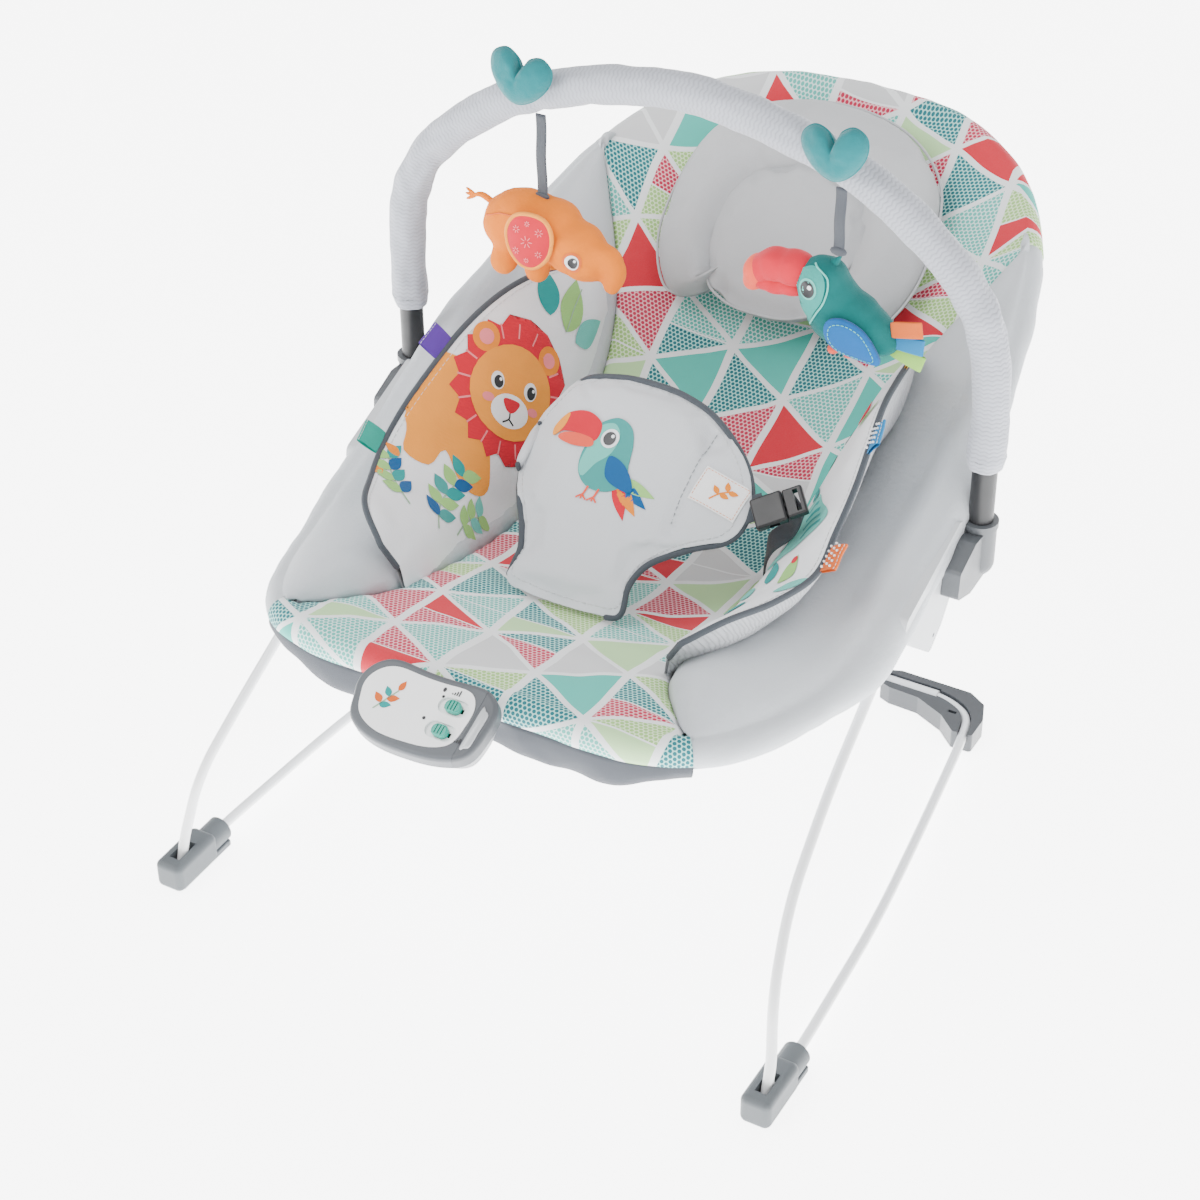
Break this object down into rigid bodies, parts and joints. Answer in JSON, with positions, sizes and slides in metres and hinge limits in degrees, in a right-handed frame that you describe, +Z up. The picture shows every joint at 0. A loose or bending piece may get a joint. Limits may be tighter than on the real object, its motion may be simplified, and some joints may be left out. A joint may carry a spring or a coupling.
{
  "type": "baby bouncer seat",
  "caption": "Reclined fabric sling seat on a springy wire frame, with a padded harness, a removable arched toy bar with hanging toys and a vibration unit on the front edge.",
  "frame": {"origin": "on the floor, at the middle of the overall width and depth", "axes": "+Z up, +Y from the foot end towards the head end, +X towards the seated child's left"},
  "size_m": [0.524, 0.7145, 0.5836],
  "materials": {
    "wire": "gloss powder coat",
    "tube": "satin",
    "screw": "zinc plated",
    "foot_rubber": "matt",
    "foot_clip": "satin",
    "hub": "satin",
    "socket": "satin",
    "bar_end": "satin",
    "plush_grey": "short plush",
    "print": "printed jersey",
    "under": "woven",
    "webbing": "webbing",
    "ribbon": "satin ribbon",
    "sleeve": "embossed plush",
    "heart": "velour",
    "orange": "velour",
    "teal": "velour",
    "buckle": "satin",
    "case": "satin gloss",
    "face": "gloss",
    "cap": "satin gloss",
    "switch": "gloss",
    "battery": "wrapped",
    "board": "lacquered",
    "motor": "plain"
  },
  "bodies": {
    "base": {"rear_cross_tube": "wire", "rear_foot_screws": "screw", "floor_wire_left": "wire", "floor_wire_right": "wire", "front_foot_left": "foot_rubber", "front_foot_right": "foot_rubber", "rear_foot_left": "foot_clip", "rear_foot_right": "foot_clip"},
    "seat": {"hub_screws": "screw", "front_seat_tube": "tube", "back_seat_tube": "tube", "seat_cover": "plush_grey", "seat_panel": "print", "under_panel": "under", "head_pillow": "plush_grey", "head_pillow_inner": "plush_grey", "harness_pad": "plush_grey", "ribbon_tags": "ribbon", "unit_back_case": "case", "unit_bezel": "case", "unit_face_plate": "face", "unit_end_cap": "cap", "unit_clamp": "case", "batteries": "battery", "speaker": "buckle", "circuit_board": "board", "vibration_motor": "motor", "case_screws": "screw", "leg_wire_left": "wire", "hub_shell_outer_left": "hub", "hub_shell_inner_left": "hub", "toy_bar_socket_left": "socket", "side_bolster_left": "print", "buckle_socket_left": "buckle", "waist_strap_left": "webbing", "leg_wire_right": "wire", "hub_shell_outer_right": "hub", "hub_shell_inner_right": "hub", "toy_bar_socket_right": "socket", "side_bolster_right": "print", "buckle_socket_right": "buckle", "waist_strap_right": "webbing"},
    "toy_bar": {"toy_bar_tube": "tube", "toy_bar_sleeve": "sleeve", "toy_bar_end_left": "bar_end", "toy_bar_end_right": "bar_end", "heart_left": "heart", "heart_right": "heart"},
    "buckle_plug_left": {"buckle_plug_left": "buckle"},
    "buckle_plug_right": {"buckle_plug_right": "buckle"},
    "eccentric_weight": {"eccentric_weight": "motor"},
    "volume_switch": {"volume_switch": "switch"},
    "vibration_switch": {"vibration_switch": "switch"},
    "strap_left": {"strap_left": "webbing"},
    "strap_right": {"strap_right": "webbing"},
    "toy_elephant": {"toy_elephant": "orange"},
    "toy_bird": {"toy_bird": "teal"},
    "battery_door": {"battery_door": "case", "battery_door_screw": "screw"}
  },
  "joints": [
    {"name": "bounce", "type": "hinge", "parent": "base", "child": "seat", "pos_m": [0, -0.30163, 0.013], "axis": [1, 0, 0], "range_deg": [-8, 3], "stiffness_Nm_per_rad": 260, "springref_deg": 2.05},
    {"name": "toy_bar_lift", "type": "slide", "parent": "seat", "child": "toy_bar", "axis": [0, 0, 1], "range_m": [0, 0.06]},
    {"name": "strap_left_swing", "type": "hinge", "parent": "toy_bar", "child": "strap_left", "pos_m": [-0.1205, 0.04137, 0.5274], "axis": [1, 0, 0], "range_deg": [-35, 35]},
    {"name": "elephant_tilt", "type": "hinge", "parent": "strap_left", "child": "toy_elephant", "pos_m": [-0.1205, 0.04137, 0.4596], "axis": [0, 1, 0], "range_deg": [-20, 20]},
    {"name": "strap_right_swing", "type": "hinge", "parent": "toy_bar", "child": "strap_right", "pos_m": [0.1205, 0.04137, 0.5274], "axis": [1, 0, 0], "range_deg": [-35, 35]},
    {"name": "bird_tilt", "type": "hinge", "parent": "strap_right", "child": "toy_bird", "pos_m": [0.1205, 0.04137, 0.4766], "axis": [0, 1, 0], "range_deg": [-20, 20]},
    {"name": "volume_slide", "type": "slide", "parent": "seat", "child": "volume_switch", "axis": [1, 0, 0], "range_m": [-0.004, 0.004]},
    {"name": "vibration_slide", "type": "slide", "parent": "seat", "child": "vibration_switch", "axis": [1, 0, 0], "range_m": [-0.004, 0.004]},
    {"name": "buckle_release_right", "type": "slide", "parent": "seat", "child": "buckle_plug_right", "axis": [0.8, 0.48, 0.36], "range_m": [0, 0.022], "deforming": ["waist_strap_right"]},
    {"name": "buckle_release_left", "type": "slide", "parent": "seat", "child": "buckle_plug_left", "axis": [-0.2124, 0.4574, -0.8635], "range_m": [0, 0.022], "deforming": ["waist_strap_left"]},
    {"name": "motor_spin", "type": "hinge", "parent": "seat", "child": "eccentric_weight", "pos_m": [0.031, -0.30653, 0.26038], "axis": [0, 0.9063, 0.4226], "continuous": true},
    {"name": "battery_door_removal", "type": "slide", "parent": "seat", "child": "battery_door", "axis": [0, 0.4226, -0.9063], "range_m": [0, 0.012]}
  ]
}
